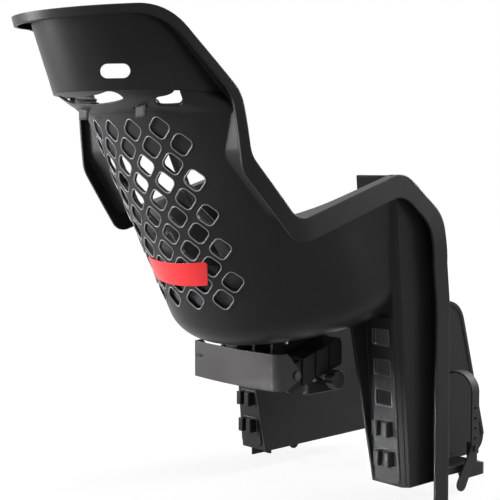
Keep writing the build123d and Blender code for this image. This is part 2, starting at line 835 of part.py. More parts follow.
def footrest():
    """Right footrest: back plate with two pegs in the leg guard's holes, sole, skirt and strap ears."""
    face_y = leg_back_y + wall + peg_gap
    plate = plan_box(rest_inner, plate_outer, face_y, face_y + plate_thick)
    plate = lean_prism(plate, rest_low_z, rest_high_z)
    tread_z = sole_z - sole_drop
    sole = make_face(Polyline(
        (face_y, sole_z), (toe_y - nose_back, tread_z), (toe_y, tread_z - nose_drop),
        (toe_y - nose_chin, tread_z - sole_thick), (face_y, sole_z - sole_thick), close=True))
    skirt = make_face(Polyline(
        (skirt_rear_y, tread_z - sole_thick / 2), (toe_y, tread_z - nose_drop),
        (toe_y - nose_chin, skirt_low_z), (skirt_rear_y + nose_chin, skirt_low_z), close=True))
    skirt = Pos(rest_outer, 0, 0) * across(skirt, rest_outer - skirt_inner)
    plan = plan_box(rest_inner, rest_outer, face_y, toe_y)
    plan = fillet(plan.vertices().group_by(Axis.Y)[-1], toe_round)
    plan = chamfer(plan.vertices().group_by(Axis.Y)[0].sort_by(Axis.X)[-1], heel_cut)
    plan = extrude(plan, amount=bucket_reach, both=True)
    rest = plate + (across(sole, bucket_reach) & plan) + (skirt & plan)
    for step in range(2):
        z = first_hole_z + hole_pitch * step
        tip = leg_back(z) - peg_reach
        peg = Pos(hole_x, tip, z) * Box(
            hole_width - 2 * peg_gap, wall + peg_reach + plate_thick, hole_height - 2 * peg_gap,
            align=(Align.CENTER, Align.MIN, Align.CENTER))
        hook = Pos(hole_x, tip, z - hole_height / 2) * Box(
            hole_width / 3, peg_reach - 2 * wall, hole_height, align=(Align.CENTER, Align.MIN, Align.MIN))
        rest = rest + (peg - hook)
    low = tread_z - sole_thick / 2
    for x0, x1 in ((rest_inner, rest_inner + ear_thick), (ear_outer - 2 * ear_thick, ear_outer)):
        ear = Pos((x0 + x1) / 2, strap_y, low) * slab(x1 - x0, foot_strap_width, ear_top - low)
        rest = rest + ear
    grip = foot_strap_thick + 2 * strap_gap
    stud = Cylinder(stud_radius, 2 * grip)
    cap = Cylinder(stud_cap_radius, stud_cap, align=(Align.CENTER, Align.CENTER, Align.MIN))
    rest = rest + lying(strap_y, stud_z, ear_outer) * (stud + Pos(0, 0, grip) * cap)
    inner_stud = Cylinder(stud_radius, 2 * (foot_strap_thick + strap_gap))
    return rest + lying(strap_y, stud_z, rest_inner) * inner_stud


def foot_strap():
    """Right foot strap: a rubber arch over the foot with a pull tab at its outer end."""
    inner = rest_inner - strap_gap - foot_strap_thick / 2
    outer = ear_outer + strap_gap + foot_strap_thick / 2
    low = stud_z - foot_strap_width / 2
    corners = ((inner, low), (inner, arch_top), (outer, arch_top), (outer, low))
    line = FilletPolyline(*corners, radius=(outer - inner) / 2 - 1)
    arch = Plane.XZ.offset(-strap_y) * trace(line, line_width=foot_strap_thick)
    arch = extrude(arch, amount=foot_strap_width / 2, both=True)
    tab = make_hull([
        *(Pos(strap_y, stud_z) * Circle(foot_strap_width / 2)).edges(),
        *(Pos(strap_y - tab_back, tab_low_z) * Circle(tab_radius)).edges()])
    tab = extrude(Plane.YZ * tab, amount=foot_strap_thick)
    arch = arch + Pos(outer - foot_strap_thick / 2, 0, 0) * tab
    holes = [lying(strap_y, stud_z) * Cylinder(stud_radius + strap_gap, bucket_reach)]
    for step in range(strap_holes):
        z = stud_z + strap_hole_pitch * (step + 1)
        holes.append(lying(strap_y, z, outer) * Cylinder(strap_hole_radius, foot_strap_width))
    return arch - holes


def back_line(z, depth):
    """Side-view point inside the back, depth from its outer face."""
    return (spine_y(z) + depth / cos(radians(back_lean)), z)


def shoulder_front():
    """Ends of the strap's free length, from the back down to the pan."""
    return back_line(strap_step_low, strap_depth_low), pan_yz(
        strap_depth_low + pan_corner / 2, tongue_n + strap_loop)


def shoulder_strap():
    """Right shoulder strap, from its slot in the ledge down the back to its tongue."""
    slot_y = ledge_y - strap_slot_back
    top = ledge_z(slot_y) + wall + strap_lift
    points = [
        (slot_y, ledge_z(slot_y) - 2 * wall),
        (slot_y, top),
        back_line(top, strap_depth_high),
        back_line(strap_step_high, strap_depth_high),
        *shoulder_front(),
        pan_yz(tongue_u, tongue_n + strap_loop),
        pan_yz(tongue_u, tongue_n - strap_loop),
        pan_yz(tongue_u - strap_tail, tongue_n - strap_loop),
    ]
    turn = strap_loop - strap_thick / 10
    bends = [strap_bend, strap_bend, 2 * strap_bend, 2 * strap_bend, 4 * strap_bend, turn, turn]
    return Pos(strap_x, 0, 0) * band(points, bends, strap_thick, strap_width)


def shoulder_pad():
    """Padded sleeve round the right shoulder strap."""
    top, foot = (Vector(*point) for point in shoulder_front())
    start = top + (foot - top) * sleeve_start
    end = top + (foot - top) * sleeve_end
    line = Line((start.X, start.Y), (end.X, end.Y))
    sleeve = Plane.YZ * trace(line, line_width=sleeve_thick)
    sleeve = extrude(sleeve, amount=sleeve_width / 2, both=True)
    sleeve = fillet(sleeve.edges().filter_by(Axis.X), sleeve_thick / 4)
    way = Line((top.X, top.Y), (foot.X, foot.Y))
    way = Plane.YZ * trace(way, line_width=strap_thick + 2 * soft_gap)
    way = extrude(way, amount=strap_width / 2 + soft_gap, both=True)
    return Pos(strap_x, 0, 0) * (sleeve - way)


def tongue():
    """Right tongue: a plate with a slot for its strap and a blade for the buckle."""
    half = strap_width / 2 + tongue_margin
    rear = tongue_u - strap_loop - tongue_lip
    front = tongue_u + strap_loop + tongue_lip
    neck = buckle_u - buckle_long / 2 - tongue_margin
    plate = make_face(Polyline(
        (strap_x - half, rear), (strap_x + half, rear), (strap_x + half, front), (blade_outer, neck),
        (blade_outer, blade_end_u), (blade_inner, blade_end_u), (blade_inner, neck),
        (strap_x - half, front), close=True))
    plate = fillet(plate.vertices().sort_by(Axis.Y)[:2], tongue_margin)
    slot = Pos(strap_x, tongue_u) * Rectangle(strap_width + slot_play, 2 * strap_loop - slot_play / 4)
    return on_pan(0, tongue_n) * extrude(plate - slot, amount=tongue_thick / 2, both=True)


def buckle_body():
    """Buckle housing with two tongue slots, a button well and the crotch strap's slot."""
    body = Pos(0, buckle_u, 0) * Box(buckle_width, buckle_long, buckle_high)
    body = fillet(body.edges(), buckle_round)
    rear = buckle_u - buckle_long / 2
    slots = []
    for side in (-1, 1):
        x = side * (blade_inner + blade_outer) / 2
        wide = blade_outer - blade_inner + 2 * blade_play
        deep = blade_end_u - rear + 2 * blade_play
        high = tongue_thick + 2 * blade_play
        slots.append(Pos(x, (rear + blade_end_u) / 2, 0) * Box(wide, deep, high))
    slots.append(Pos(0, button_u, buckle_high / 2 - button_pocket) * slab(
        button_size + 2 * button_play, button_size + 2 * button_play, buckle_high))
    slots.append(Pos(0, buckle_u + buckle_long / 2, 0) * Box(
        strap_width + 2 * blade_play, 2 * crotch_slot, strap_thick + 2 * blade_play))
    return on_pan(0, tongue_n) * (body - slots)


def buckle_button():
    """Push button in the buckle's well."""
    low = buckle_high / 2 - button_pocket + button_travel + button_play
    button = Pos(0, button_u, low) * slab(button_size, button_size, button_high)
    button = fillet(button.edges().filter_by(Axis.Z), 3)
    button = fillet(button.edges().group_by(Axis.Z)[-1], 1)
    return on_pan(0, tongue_n) * button


def crotch_strap():
    """Short strap from a slot in the pan to the buckle."""
    start_u = buckle_u + buckle_long / 2 - crotch_slot + blade_play
    points = [
        pan_yz(start_u, tongue_n),
        pan_yz(crotch_u, tongue_n),
        pan_yz(crotch_u, -crotch_drop),
        pan_yz(crotch_u - strap_width, -crotch_drop),
    ]
    return band(points, [8, 4], strap_thick, strap_width)


def pair(name, shape):
    """The right-hand piece and its mirror image as two nodes."""
    return {name + "_right": shape, name + "_left": mirror(shape, about=Plane.YZ)}


nodes = {
    "seat_shell": seat_shell(),
    "back_badge": back_badge(),
    "seat_pad": seat_pad(),
    "mount_base": mount_base(),
    "guide_rods": guide_rods(),
    "clamp_screw": clamp_screw(),
    "clamp_knob": clamp_knob(),
    "mount_screws": mount_screws(),
    "mount_nuts": mount_nuts(),
    "lock_handle": lock_handle(),
    "handle_pins": handle_pins(),
    "crotch_strap": crotch_strap(),
    "buckle_body": buckle_body(),
    "buckle_button": buckle_button(),
    **pair("clamp_jaw", clamp_jaw()),
    **pair("footrest", footrest()),
    **pair("foot_strap", foot_strap()),
    **pair("shoulder_strap", shoulder_strap()),
    **pair("shoulder_pad", shoulder_pad()),
    **pair("tongue", tongue()),
}

os.makedirs("parts", exist_ok=True)
for name, shape in nodes.items():
    export_step(shape, "parts/" + name + ".step")
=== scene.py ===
"""Looks of the rear child seat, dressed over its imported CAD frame."""
import math

import bmesh
import bpy
from mathutils import Matrix, Vector
from mathutils.bvhtree import BVHTree


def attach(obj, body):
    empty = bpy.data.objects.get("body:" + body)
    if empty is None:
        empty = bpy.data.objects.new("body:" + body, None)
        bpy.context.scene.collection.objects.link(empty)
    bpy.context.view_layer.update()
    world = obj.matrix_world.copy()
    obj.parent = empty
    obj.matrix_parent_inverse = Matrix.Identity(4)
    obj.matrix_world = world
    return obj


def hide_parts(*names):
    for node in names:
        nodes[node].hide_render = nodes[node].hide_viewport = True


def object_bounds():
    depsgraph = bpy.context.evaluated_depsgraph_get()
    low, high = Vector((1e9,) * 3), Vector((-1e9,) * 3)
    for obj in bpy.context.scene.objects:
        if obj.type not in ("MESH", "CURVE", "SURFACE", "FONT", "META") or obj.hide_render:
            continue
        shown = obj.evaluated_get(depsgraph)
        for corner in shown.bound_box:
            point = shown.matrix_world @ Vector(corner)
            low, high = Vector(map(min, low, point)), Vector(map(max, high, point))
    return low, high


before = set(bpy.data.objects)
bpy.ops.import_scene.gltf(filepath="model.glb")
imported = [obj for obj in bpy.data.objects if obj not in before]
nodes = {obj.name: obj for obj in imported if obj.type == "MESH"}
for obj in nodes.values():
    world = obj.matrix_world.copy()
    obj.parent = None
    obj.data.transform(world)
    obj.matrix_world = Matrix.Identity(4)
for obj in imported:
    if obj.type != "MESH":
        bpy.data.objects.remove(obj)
cad_low, cad_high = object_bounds()

# Camera
# It stands behind the seat's right side, a little over the armrests, with the long lens of a
# catalogue picture.
lens = bpy.data.cameras.new("camera")
lens.sensor_width = 36.0
lens.lens = 84.21
camera = bpy.data.objects.new("camera", lens)
camera.location = (1.2998, -1.2196, 0.3289)
camera.rotation_euler = (math.radians(85.783), 0.0, math.radians(48.0))
bpy.context.scene.collection.objects.link(camera)
bpy.context.scene.camera = camera
bpy.context.scene.view_settings.view_transform = "Standard"

# Studio
# A white room and a pale floor under the feet of the leg guards, with one large soft box behind
# the back's left, one over the head, a narrow one low on the leg guards and one in front.
world = bpy.data.worlds.new("room")
world.use_nodes = True
bpy.context.scene.world = world
sky = world.node_tree.nodes["Background"]
sky.inputs["Color"].default_value = (1, 1, 1, 1)
room_light = 0.05


def seen_rays(tree):
    """Is 1 for rays from the camera, off a shiny face or through a clear one, and 0 for the rest."""
    rays = tree.nodes.new("ShaderNodeLightPath")
    either = tree.nodes.new("ShaderNodeMath")
    either.operation = "MAXIMUM"
    any_of = tree.nodes.new("ShaderNodeMath")
    any_of.operation = "MAXIMUM"
    tree.links.new(rays.outputs["Is Camera Ray"], either.inputs[0])
    tree.links.new(rays.outputs["Is Glossy Ray"], either.inputs[1])
    tree.links.new(either.outputs["Value"], any_of.inputs[0])
    tree.links.new(rays.outputs["Is Transmission Ray"], any_of.inputs[1])
    return any_of.outputs["Value"]


white = world.node_tree.nodes.new("ShaderNodeMapRange")
white.inputs["To Min"].default_value = room_light
white.inputs["To Max"].default_value = 1.0
world.node_tree.links.new(seen_rays(world.node_tree), white.inputs["Value"])
world.node_tree.links.new(white.outputs["Result"], sky.inputs["Strength"])

floor_reach = 6.0
floor_z = cad_low.z - 0.001
floor_mesh = bpy.data.meshes.new("floor")
floor_mesh.from_pydata(
    [(x * floor_reach, y * floor_reach, floor_z) for x, y in ((-1, -1), (1, -1), (1, 1), (-1, 1))],
    [], [(0, 1, 2, 3)])
floor = bpy.data.objects.new("floor", floor_mesh)
bpy.context.scene.collection.objects.link(floor)
pale = bpy.data.materials.new("pale_floor")
pale.use_nodes = True
tree = pale.node_tree
matt = tree.nodes["Principled BSDF"]
matt.inputs["Base Color"].default_value = (0.36, 0.36, 0.36, 1)
matt.inputs["Roughness"].default_value = 0.8
glow = tree.nodes.new("ShaderNodeEmission")
glow.inputs["Strength"].default_value = 1.1
spot = tree.nodes.new("ShaderNodeTexCoord")
away = tree.nodes.new("ShaderNodeVectorMath")
away.operation = "LENGTH"
fade = tree.nodes.new("ShaderNodeMapRange")
fade.interpolation_type = "SMOOTHSTEP"
fade.inputs["From Min"].default_value = 0.2
fade.inputs["From Max"].default_value = 1.0
fade.inputs["To Min"].default_value = 0.8
fade.inputs["To Max"].default_value = 1.0
share = tree.nodes.new("ShaderNodeMath")
share.operation = "MULTIPLY"
blend = tree.nodes.new("ShaderNodeMixShader")
tree.links.new(spot.outputs["Object"], away.inputs[0])
tree.links.new(away.outputs["Value"], fade.inputs["Value"])
tree.links.new(fade.outputs["Result"], share.inputs[1])
tree.links.new(seen_rays(tree), share.inputs[0])
tree.links.new(share.outputs["Value"], blend.inputs["Fac"])
tree.links.new(matt.outputs["BSDF"], blend.inputs[1])
tree.links.new(glow.outputs["Emission"], blend.inputs[2])
tree.links.new(blend.outputs["Shader"], tree.nodes["Material Output"].inputs["Surface"])
floor_mesh.materials.append(pale)


def soft_box(name, place, aim, size, power, spread=180):
    """Rectangular studio light that points at a spot, with its beam's spread in degrees."""
    lamp = bpy.data.lights.new(name, "AREA")
    lamp.shape = "RECTANGLE"
    lamp.size, lamp.size_y = size
    lamp.energy = power
    lamp.spread = math.radians(spread)
    stand = bpy.data.objects.new(name, lamp)
    stand.location = place
    stand.visible_camera = False
    gaze = Vector(aim) - Vector(place)
    stand.rotation_euler = gaze.to_track_quat("-Z", "Y").to_euler()
    bpy.context.scene.collection.objects.link(stand)


soft_box("key", (-1.7, -1.9, 0.6), (0, -0.15, 0.2), (1.0, 1.2), 108)
soft_box("top", (0.2, -1.0, 2.1), (0, -0.1, 0.2), (1.2, 1.0), 42)
soft_box("low", (-0.3, -1.6, -0.06), (0.16, 0.09, -0.11), (0.16, 0.16), 0.4, 6)
soft_box("front", (0.5, 2.3, 1.3), (0, 0, 0.15), (1.0, 1.0), 95)


# Moulded shell
# One black polypropylene moulding with a satin, finely eroded grain: bucket, lattice back, cowl,
# rim and leg guards. Its solid has the right form, so it gets even shading and a finish.
weld_gap = 0.00002


def crisp(obj, angle):
    """Joins the facets of a solid and shades it smooth between its real edges."""
    group = bpy.data.node_groups.get("crisp") or bpy.data.node_groups.new("crisp", "GeometryNodeTree")
    if not group.nodes:
        group.interface.new_socket("Geometry", in_out="INPUT", socket_type="NodeSocketGeometry")
        group.interface.new_socket("Edge angle", in_out="INPUT", socket_type="NodeSocketFloat")
        group.interface.new_socket("Geometry", in_out="OUTPUT", socket_type="NodeSocketGeometry")
        start = group.nodes.new("NodeGroupInput")
        end = group.nodes.new("NodeGroupOutput")
        weld = group.nodes.new("GeometryNodeMergeByDistance")
        weld.inputs["Distance"].default_value = weld_gap
        even = group.nodes.new("GeometryNodeSetShadeSmooth")
        edge = group.nodes.new("GeometryNodeSetShadeSmooth")
        edge.domain = "EDGE"
        edge.inputs["Shade Smooth"].default_value = False
        turn = group.nodes.new("GeometryNodeInputMeshEdgeAngle")
        over = group.nodes.new("FunctionNodeCompare")
        group.links.new(start.outputs["Geometry"], weld.inputs["Geometry"])
        group.links.new(weld.outputs["Geometry"], even.inputs["Geometry"])
        group.links.new(even.outputs["Geometry"], edge.inputs["Geometry"])
        group.links.new(turn.outputs["Unsigned Angle"], over.inputs["A"])
        group.links.new(start.outputs["Edge angle"], over.inputs["B"])
        group.links.new(over.outputs["Result"], edge.inputs["Selection"])
        group.links.new(edge.outputs["Geometry"], end.inputs["Geometry"])
    step = obj.modifiers.new("crisp", "NODES")
    step.node_group = group
    socket = next(s for s in group.interface.items_tree if s.name == "Edge angle")
    step[socket.identifier] = math.radians(angle)


def moulded(name, colour, rough, grain, edge, shine=0.35, metal=0.0):
    """Moulded plastic: an uneven tint, a fine eroded grain, worn patches of varied roughness and softly
    broken edges.
    """
    mat = bpy.data.materials.new(name)
    mat.use_nodes = True
    tree = mat.node_tree
    skin = tree.nodes["Principled BSDF"]
    skin.inputs["Specular IOR Level"].default_value = shine
    skin.inputs["Metallic"].default_value = metal
    spot = tree.nodes.new("ShaderNodeTexCoord")
    cloud = tree.nodes.new("ShaderNodeTexNoise")
    cloud.inputs["Scale"].default_value = 9.0
    cloud.inputs["Detail"].default_value = 6.0
    tint = tree.nodes.new("ShaderNodeValToRGB")
    tint.color_ramp.elements[0].position = 0.3
    tint.color_ramp.elements[1].position = 0.75
    tint.color_ramp.elements[0].color = tuple(0.82 * c for c in colour) + (1,)
    tint.color_ramp.elements[1].color = tuple(1.18 * c for c in colour) + (1,)
    sheen = tree.nodes.new("ShaderNodeMapRange")
    sheen.inputs["To Min"].default_value = rough - 0.07
    sheen.inputs["To Max"].default_value = rough + 0.07
    fine = tree.nodes.new("ShaderNodeTexNoise")
    fine.inputs["Scale"].default_value = 1.0 / grain
    fine.inputs["Detail"].default_value = 3.0
    soft = tree.nodes.new("ShaderNodeBevel")
    soft.samples = 6
    soft.inputs["Radius"].default_value = edge
    bump = tree.nodes.new("ShaderNodeBump")
    bump.inputs["Strength"].default_value = 0.16
    bump.inputs["Distance"].default_value = 0.0004
    link = tree.links.new
    link(spot.outputs["Object"], cloud.inputs["Vector"])
    link(spot.outputs["Object"], fine.inputs["Vector"])
    link(cloud.outputs["Fac"], tint.inputs["Fac"])
    link(tint.outputs["Color"], skin.inputs["Base Color"])
    link(cloud.outputs["Fac"], sheen.inputs["Value"])
    link(sheen.outputs["Result"], skin.inputs["Roughness"])
    link(fine.outputs["Fac"], bump.inputs["Height"])
    link(soft.outputs["Normal"], bump.inputs["Normal"])
    link(bump.outputs["Normal"], skin.inputs["Normal"])
    return mat


def finish_node(name, mat, angle=28):
    """Gives a CAD node its finish."""
    obj = nodes[name]
    obj.data.materials.clear()
    obj.data.materials.append(mat)
    crisp(obj, angle)


black = moulded("black_moulding", (0.022, 0.022, 0.023), rough=0.36, grain=0.0011, edge=0.003, shine=0.12)
finish_node("seat_shell", black)


# Window beads
# A thin raised bead runs round each window of the lattice back and each footrest hole; it is
# part of the moulding. Its grey, lighter than the walls, is painted highlight for the light caught
# on these edges.
def tree_with(name, sizes):
    """New geometry tree with a geometry in and out, and a named float input for each size."""
    group = bpy.data.node_groups.new(name, "GeometryNodeTree")
    group.interface.new_socket("Geometry", in_out="INPUT", socket_type="NodeSocketGeometry")
    for size in sizes:
        group.interface.new_socket(size, in_out="INPUT", socket_type="NodeSocketFloat")
    group.interface.new_socket("Finish", in_out="INPUT", socket_type="NodeSocketMaterial")
    group.interface.new_socket("Geometry", in_out="OUTPUT", socket_type="NodeSocketGeometry")
    return group, group.nodes.new("NodeGroupInput"), group.nodes.new("NodeGroupOutput")


def planted(group, start, end, seed_shape):
    """Ends a tree: sets the shape on every point, turned by the point's own turn, as a real mesh."""
    turn = group.nodes.new("GeometryNodeInputNamedAttribute")
    turn.data_type = "FLOAT_VECTOR"
    turn.inputs["Name"].default_value = "turn"
    euler = group.nodes.new("FunctionNodeEulerToRotation")
    plant = group.nodes.new("GeometryNodeInstanceOnPoints")
    real = group.nodes.new("GeometryNodeRealizeInstances")
    smooth = group.nodes.new("GeometryNodeSetShadeSmooth")
    coat = group.nodes.new("GeometryNodeSetMaterial")
    link = group.links.new
    link(start.outputs["Geometry"], plant.inputs["Points"])
    link(seed_shape, plant.inputs["Instance"])
    link(turn.outputs["Attribute"], euler.inputs["Euler"])
    link(euler.outputs["Rotation"], plant.inputs["Rotation"])
    link(plant.outputs["Instances"], real.inputs["Geometry"])
    link(real.outputs["Geometry"], smooth.inputs["Geometry"])
    link(smooth.outputs["Geometry"], coat.inputs["Geometry"])
    link(start.outputs["Finish"], coat.inputs["Material"])
    link(coat.outputs["Geometry"], end.inputs["Geometry"])


def grown(name, spots, group, sizes, finish, body):
    """Plain mesh of a tree's shape on spots, each a place and three axes, riding on a body."""
    mesh = bpy.data.meshes.new(name + "_spots")
    mesh.from_pydata([place for place, _ in spots], [], [])
    turns = mesh.attributes.new("turn", "FLOAT_VECTOR", "POINT")
    for i, (_, axes) in enumerate(spots):
        turns.data[i].vector = Matrix(axes).transposed().to_euler()
    seed = bpy.data.objects.new(name + "_spots", mesh)
    bpy.context.scene.collection.objects.link(seed)
    step = seed.modifiers.new("grow", "NODES")
    step.node_group = group
    for socket in group.interface.items_tree:
        if socket.in_out == "INPUT" and socket.name in sizes:
            step[socket.identifier] = sizes[socket.name]
        if socket.in_out == "INPUT" and socket.name == "Finish":
            step[socket.identifier] = finish
    bpy.context.view_layer.update()
    graph = bpy.context.evaluated_depsgraph_get()
    result = bpy.data.meshes.new_from_object(seed.evaluated_get(graph))
    bpy.data.objects.remove(seed)
    piece = bpy.data.objects.new(name, result)
    bpy.context.scene.collection.objects.link(piece)
    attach(piece, body)
    return piece


bead_tree, start, end = tree_with("bead", ("Width", "Height", "Corner", "Spin", "Bend", "Bead"))
frame_line = bead_tree.nodes.new("GeometryNodeCurvePrimitiveQuadrilateral")
corner = bead_tree.nodes.new("GeometryNodeFilletCurve")
corner.mode = "POLY"
corner.inputs["Count"].default_value = 6
even = bead_tree.nodes.new("GeometryNodeResampleCurve")
even.inputs["Count"].default_value = 40
spin = bead_tree.nodes.new("GeometryNodeTransform")
around = bead_tree.nodes.new("ShaderNodeCombineXYZ")
where = bead_tree.nodes.new("GeometryNodeInputPosition")
split = bead_tree.nodes.new("ShaderNodeSeparateXYZ")
square = bead_tree.nodes.new("ShaderNodeMath")
square.operation = "MULTIPLY"
sag = bead_tree.nodes.new("ShaderNodeMath")
sag.operation = "MULTIPLY"
down = bead_tree.nodes.new("ShaderNodeCombineXYZ")
curved = bead_tree.nodes.new("GeometryNodeSetPosition")
ring = bead_tree.nodes.new("GeometryNodeCurvePrimitiveCircle")
ring.inputs["Resolution"].default_value = 8
tube = bead_tree.nodes.new("GeometryNodeCurveToMesh")
link = bead_tree.links.new
link(start.outputs["Width"], frame_line.inputs["Width"])
link(start.outputs["Height"], frame_line.inputs["Height"])
link(frame_line.outputs["Curve"], corner.inputs["Curve"])
link(start.outputs["Corner"], corner.inputs["Radius"])
link(corner.outputs["Curve"], even.inputs["Curve"])
link(even.outputs["Curve"], spin.inputs["Geometry"])
link(start.outputs["Spin"], around.inputs["Z"])
link(around.outputs["Vector"], spin.inputs["Rotation"])
link(where.outputs["Position"], split.inputs["Vector"])
link(split.outputs["X"], square.inputs[0])
link(split.outputs["X"], square.inputs[1])
link(square.outputs["Value"], sag.inputs[0])
link(start.outputs["Bend"], sag.inputs[1])
link(sag.outputs["Value"], down.inputs["Z"])
link(spin.outputs["Geometry"], curved.inputs["Geometry"])
link(down.outputs["Vector"], curved.inputs["Offset"])
link(curved.outputs["Geometry"], tube.inputs["Curve"])
link(start.outputs["Bead"], ring.inputs["Radius"])
link(ring.outputs["Curve"], tube.inputs["Profile Curve"])
planted(bead_tree, start, end, tube.outputs["Mesh"])

hip = Vector((0, -0.139, 0.054))
pan_tilt = math.radians(12.0)
back_lean = math.radians(24.3)
pan_corner = 0.052
bucket_height = 0.430
pan_forward = Vector((0, math.cos(pan_tilt), math.sin(pan_tilt)))
pan_normal = Vector((0, -math.sin(pan_tilt), math.cos(pan_tilt)))
climb = Vector((0, -math.sin(back_lean), math.cos(back_lean)))
across = Vector((1, 0, 0))
lattice_top = 0.3737
lattice_rows = 11
row_pitch = 0.026
half_pitch = 0.0237
radius_at_pan = 0.152
radius_gain = 0.103
windows = []
for row in range(lattice_rows):
    z = lattice_top - row * row_pitch * math.cos(back_lean)
    height = (z - hip.z) / math.cos(back_lean) * math.cos(back_lean - pan_tilt)
    radius = radius_at_pan + radius_gain * max(0, (height - pan_corner) / (bucket_height - pan_corner))
    spine = hip + pan_normal * height - pan_forward * (height * math.tan(back_lean - pan_tilt))
    for step in ((-3, -1, 1, 3) if row % 2 == 0 else (-4, -2, 0, 2, 4)):
        angle = step * half_pitch / radius
        lateral = across * math.cos(angle) + pan_forward * math.sin(angle)
        out = lateral.cross(climb)
        place = spine + across * (radius * math.sin(angle)) + pan_forward * (radius * (1 - math.cos(angle)))
        windows.append((place, (lateral, out.cross(lateral), out)))
# The window beads' pale grey is painted highlight along the window edges.
window_bead_highlight = moulded("painted_highlight_window_bead", (0.24, 0.24, 0.245), rough=0.32, grain=0.0008, edge=0.0002, shine=0.5)
window_bead = {"Width": 0.0268, "Height": 0.0268, "Corner": 0.0078, "Spin": math.radians(45), "Bend": -2.6,
               "Bead": 0.0009}
grown("window_beads", windows, bead_tree, window_bead, window_bead_highlight, "seat")

leg_lean = math.radians(5.0)
leg_foot = Vector((0.153, 0.095, -0.153))
leg_out = Vector((0, -math.cos(leg_lean), -math.sin(leg_lean)))
bead_proud = 0.002
holes = 5
lowest_hole = -0.111
hole_pitch = 0.046
hole_spots = []
for side in (-1, 1):
    for step in range(holes):
        z = lowest_hole + hole_pitch * step
        y = leg_foot.y - (z - leg_foot.z) * math.tan(leg_lean) - bead_proud
        hole_spots.append(((side * leg_foot.x, y, z), (across, leg_out.cross(across), leg_out)))
hole_bead = {"Width": 0.0318, "Height": 0.0248, "Corner": 0.002, "Spin": 0.0, "Bend": 0.0, "Bead": 0.0008}
# The hole beads' grey, lighter than the walls, is painted highlight along the hole edges.
hole_bead_highlight = moulded("painted_highlight_hole_bead", (0.09, 0.09, 0.092), rough=0.36, grain=0.0008, edge=0.0002)
grown("hole_beads", hole_spots, bead_tree, hole_bead, hole_bead_highlight, "seat")

# Badge
# A thin plain plate of red gloss plastic, bent to the curve of the back and set on it among the
# lower windows.
red = moulded("red_gloss", (0.7, 0.022, 0.028), rough=0.3, grain=0.004, edge=0.0008, shine=0.3)
finish_node("back_badge", red)

# Carrier mount
# Dark glass-filled moulding under the pan: slab, sloping deck, ribbed cheeks and flange, with two
# jaws of the same plastic that grip the carrier's rails, and a matt knob that turns their spindle.
mount = moulded("mount_moulding", (0.024, 0.023, 0.024), rough=0.42, grain=0.001, edge=0.0012, shine=0.12)
for name in ("mount_base", "clamp_jaw_right", "clamp_jaw_left"):
    finish_node(name, mount)
knob = moulded("knob_moulding", (0.018, 0.018, 0.018), rough=0.5, grain=0.0008, edge=0.001)
finish_node("clamp_knob", knob)


# Steel parts
# Zinc-plated screws, nuts, guide rods and clamp spindle, and the lever's blackened pins. The spindle
# has a five-start thread of 8 mm lead, right-handed at one jaw and left-handed at the other.
def plated(name, colour, rough):
    """Plated or blackened steel: a cloudy tint and roughness, and fine drawn lines."""
    mat = bpy.data.materials.new(name)
    mat.use_nodes = True
    tree = mat.node_tree
    skin = tree.nodes["Principled BSDF"]
    skin.inputs["Metallic"].default_value = 1.0
    spot = tree.nodes.new("ShaderNodeTexCoord")
    stretch = tree.nodes.new("ShaderNodeMapping")
    stretch.inputs["Scale"].default_value = (60, 900, 900)
    drawn = tree.nodes.new("ShaderNodeTexNoise")
    drawn.inputs["Scale"].default_value = 1.0
    cloud = tree.nodes.new("ShaderNodeTexNoise")
    cloud.inputs["Scale"].default_value = 120.0
    cloud.inputs["Detail"].default_value = 5.0
    tint = tree.nodes.new("ShaderNodeValToRGB")
    tint.color_ramp.elements[0].color = tuple(0.75 * c for c in colour) + (1,)
    tint.color_ramp.elements[1].color = tuple(1.1 * c for c in colour) + (1,)
    gloss = tree.nodes.new("ShaderNodeMapRange")
    gloss.inputs["To Min"].default_value = rough - 0.08
    gloss.inputs["To Max"].default_value = rough + 0.12
    bump = tree.nodes.new("ShaderNodeBump")
    bump.inputs["Strength"].default_value = 0.1
    bump.inputs["Distance"].default_value = 0.0002
    link = tree.links.new
    link(spot.outputs["Object"], stretch.inputs["Vector"])
    link(stretch.outputs["Vector"], drawn.inputs["Vector"])
    link(spot.outputs["Object"], cloud.inputs["Vector"])
    link(cloud.outputs["Fac"], tint.inputs["Fac"])
    link(tint.outputs["Color"], skin.inputs["Base Color"])
    link(cloud.outputs["Fac"], gloss.inputs["Value"])
    link(gloss.outputs["Result"], skin.inputs["Roughness"])
    link(drawn.outputs["Fac"], bump.inputs["Height"])
    link(bump.outputs["Normal"], skin.inputs["Normal"])
    return mat


zinc = plated("zinc_plate", (0.55, 0.55, 0.56), rough=0.34)
for name in ("mount_screws", "mount_nuts", "guide_rods", "clamp_screw"):
    finish_node(name, zinc)
finish_node("handle_pins", plated("black_oxide", (0.07, 0.07, 0.072), rough=0.42))

thread_tree, start, end = tree_with("thread", ("Length", "Radius", "Turns", "Left", "Ridge"))
coil = thread_tree.nodes.new("GeometryNodeCurveSpiral")
coil.inputs["Resolution"].default_value = 24
ridge = thread_tree.nodes.new("GeometryNodeCurvePrimitiveCircle")
ridge.inputs["Resolution"].default_value = 5
wound = thread_tree.nodes.new("GeometryNodeCurveToMesh")
wound.inputs["Fill Caps"].default_value = True
link = thread_tree.links.new
link(start.outputs["Turns"], coil.inputs["Rotations"])
link(start.outputs["Radius"], coil.inputs["Start Radius"])
link(start.outputs["Radius"], coil.inputs["End Radius"])
link(start.outputs["Length"], coil.inputs["Height"])
link(start.outputs["Left"], coil.inputs["Reverse"])
link(coil.outputs["Curve"], wound.inputs["Curve"])
link(start.outputs["Ridge"], ridge.inputs["Radius"])
link(ridge.outputs["Curve"], wound.inputs["Profile Curve"])
planted(thread_tree, start, end, wound.outputs["Mesh"])

